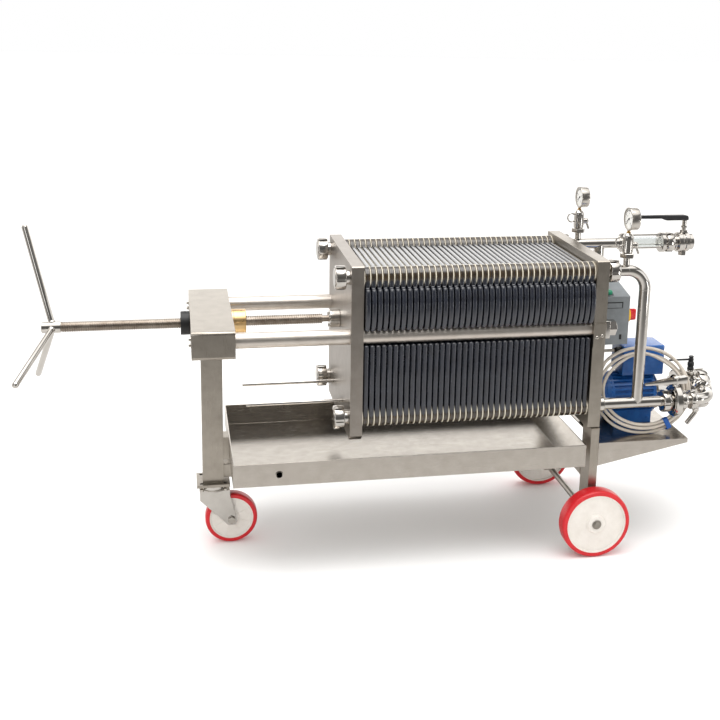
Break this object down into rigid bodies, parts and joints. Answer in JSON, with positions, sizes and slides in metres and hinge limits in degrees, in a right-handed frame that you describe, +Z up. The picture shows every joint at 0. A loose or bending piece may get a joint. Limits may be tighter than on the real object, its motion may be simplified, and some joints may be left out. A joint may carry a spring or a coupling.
{
  "type": "plate filter press",
  "caption": "Manual plate-and-frame filter press on a wheeled stainless trolley, with drip tray, feed pump, sight glass and gauges.",
  "frame": {"origin": "on the floor under the middle of the whole machine", "axes": "+X from the hand wheel towards the pump and outlet, +Y towards the outlet side, +Z up"},
  "size_m": [1.9918, 0.55, 0.993],
  "materials": {
    "frame_steel": "satin stainless",
    "tray_steel": "satin stainless sheet",
    "mirror_steel": "polished stainless plate",
    "polished_steel": "polished stainless",
    "screw_steel": "oiled steel screw",
    "bronze": "turned bronze",
    "black_collar": "black",
    "plate_plastic": "moulded blue-black",
    "filter_media": "cream sheet",
    "motor_paint": "blue gloss paint",
    "box_grey": "grey semi-gloss",
    "yellow_plastic": "yellow",
    "red_plastic": "red",
    "green_plastic": "green",
    "black_lever": "black sleeve",
    "clear_glass": "clear",
    "dial_white": "white dial",
    "cable_jacket": "grey jacket",
    "red_tread": "red polyurethane",
    "cream_rim": "cream nylon"
  },
  "bodies": {
    "frame": {"crosshead": "frame_steel", "screw_nut": "bronze", "screw_collar": "black_collar", "side_rails": "polished_steel", "rail_nuts": "polished_steel", "guide_rods": "polished_steel", "fixed_head": "frame_steel", "front_leg": "frame_steel", "rear_frame": "frame_steel", "rear_axle": "polished_steel", "tray_supports": "frame_steel", "drip_tray": "tray_steel", "pump_shelf": "tray_steel", "filter_plates": "plate_plastic", "filter_sheets": "filter_media", "motor_body": "motor_paint", "fan_cowl": "motor_paint", "terminal_box": "motor_paint", "pump_head": "polished_steel", "pump_cock": "black_collar", "control_box": "box_grey", "switch_plate": "yellow_plastic", "inlet_pipes": "polished_steel", "outlet_pipes": "polished_steel", "union_nuts": "polished_steel", "feed_check_valve": "polished_steel", "sight_glass": "clear_glass", "sight_glass_cage": "polished_steel", "outlet_valve": "polished_steel", "gauge_cases": "polished_steel", "gauge_dials": "dial_white", "sample_valves": "polished_steel", "cable_coil": "cable_jacket", "gauge_necks": "bronze", "cable_glands": "black_collar", "motor_lead": "cable_jacket", "cable_lead": "cable_jacket", "cable_tail": "cable_jacket", "cable_plug": "black_collar"},
    "moving_head": {"moving_head_plate": "mirror_steel", "thrust_boss": "polished_steel", "blank_port_nuts": "polished_steel"},
    "screw": {"spindle": "screw_steel", "handle_spokes": "polished_steel"},
    "caster": {"caster_fork": "polished_steel"},
    "caster_wheel": {"caster_tread": "red_tread", "caster_rim": "cream_rim"},
    "wheel_front": {"wheel_front_tread": "red_tread", "wheel_front_rim": "cream_rim"},
    "wheel_back": {"wheel_back_tread": "red_tread", "wheel_back_rim": "cream_rim"},
    "outlet_handle": {"outlet_lever": "black_lever"},
    "feed_handle": {"feed_lever": "polished_steel"},
    "cock_handle": {"cock_lever": "black_lever"},
    "switch": {"switch_knob": "red_plastic"},
    "button": {"start_button": "green_plastic"}
  },
  "joints": [
    {"name": "screw_turn", "type": "hinge", "parent": "moving_head", "child": "screw", "pos_m": [-0.173, 0, 0.655], "axis": [-1, 0, 0], "range_deg": [0, 12000]},
    {"name": "head_slide", "type": "slide", "parent": "frame", "child": "moving_head", "axis": [-1, 0, 0], "range_m": [0, 0.2]},
    {"name": "caster_swivel", "type": "hinge", "parent": "frame", "child": "caster", "pos_m": [-0.502, 0, 0.178], "axis": [0, 0, 1], "continuous": true},
    {"name": "caster_wheel_spin", "type": "hinge", "parent": "caster", "child": "caster_wheel", "pos_m": [-0.452, 0, 0.074], "axis": [0, 1, 0], "continuous": true},
    {"name": "front_wheel_spin", "type": "hinge", "parent": "frame", "child": "wheel_front", "pos_m": [0.5569, -0.248, 0.1], "axis": [0, 1, 0], "continuous": true},
    {"name": "back_wheel_spin", "type": "hinge", "parent": "frame", "child": "wheel_back", "pos_m": [0.5569, 0.248, 0.1], "axis": [0, 1, 0], "continuous": true},
    {"name": "outlet_lever_turn", "type": "hinge", "parent": "frame", "child": "outlet_handle", "pos_m": [0.9684, 0.178, 0.885], "axis": [0, 0, 1], "range_deg": [-90, 0]},
    {"name": "feed_lever_turn", "type": "hinge", "parent": "frame", "child": "feed_handle", "pos_m": [0.807, -0.178, 0.474], "axis": [0, 0, 1], "range_deg": [0, 90]},
    {"name": "cock_lever_turn", "type": "hinge", "parent": "frame", "child": "cock_handle", "pos_m": [0.9324, -0.015, 0.488], "axis": [0, 0, 1], "range_deg": [0, 90]},
    {"name": "switch_turn", "type": "hinge", "parent": "frame", "child": "switch", "pos_m": [0.6874, -0.086, 0.662], "axis": [1, 0, 0], "range_deg": [0, 90]},
    {"name": "button_press", "type": "slide", "parent": "frame", "child": "button", "axis": [0, 0.2253, -0.9743], "range_m": [0, 0.003], "stiffness_N_per_m": 200}
  ],
  "couplings": [
    {"joint": "head_slide", "follows": "screw_turn", "m_per_rad": 0.00095493}
  ]
}
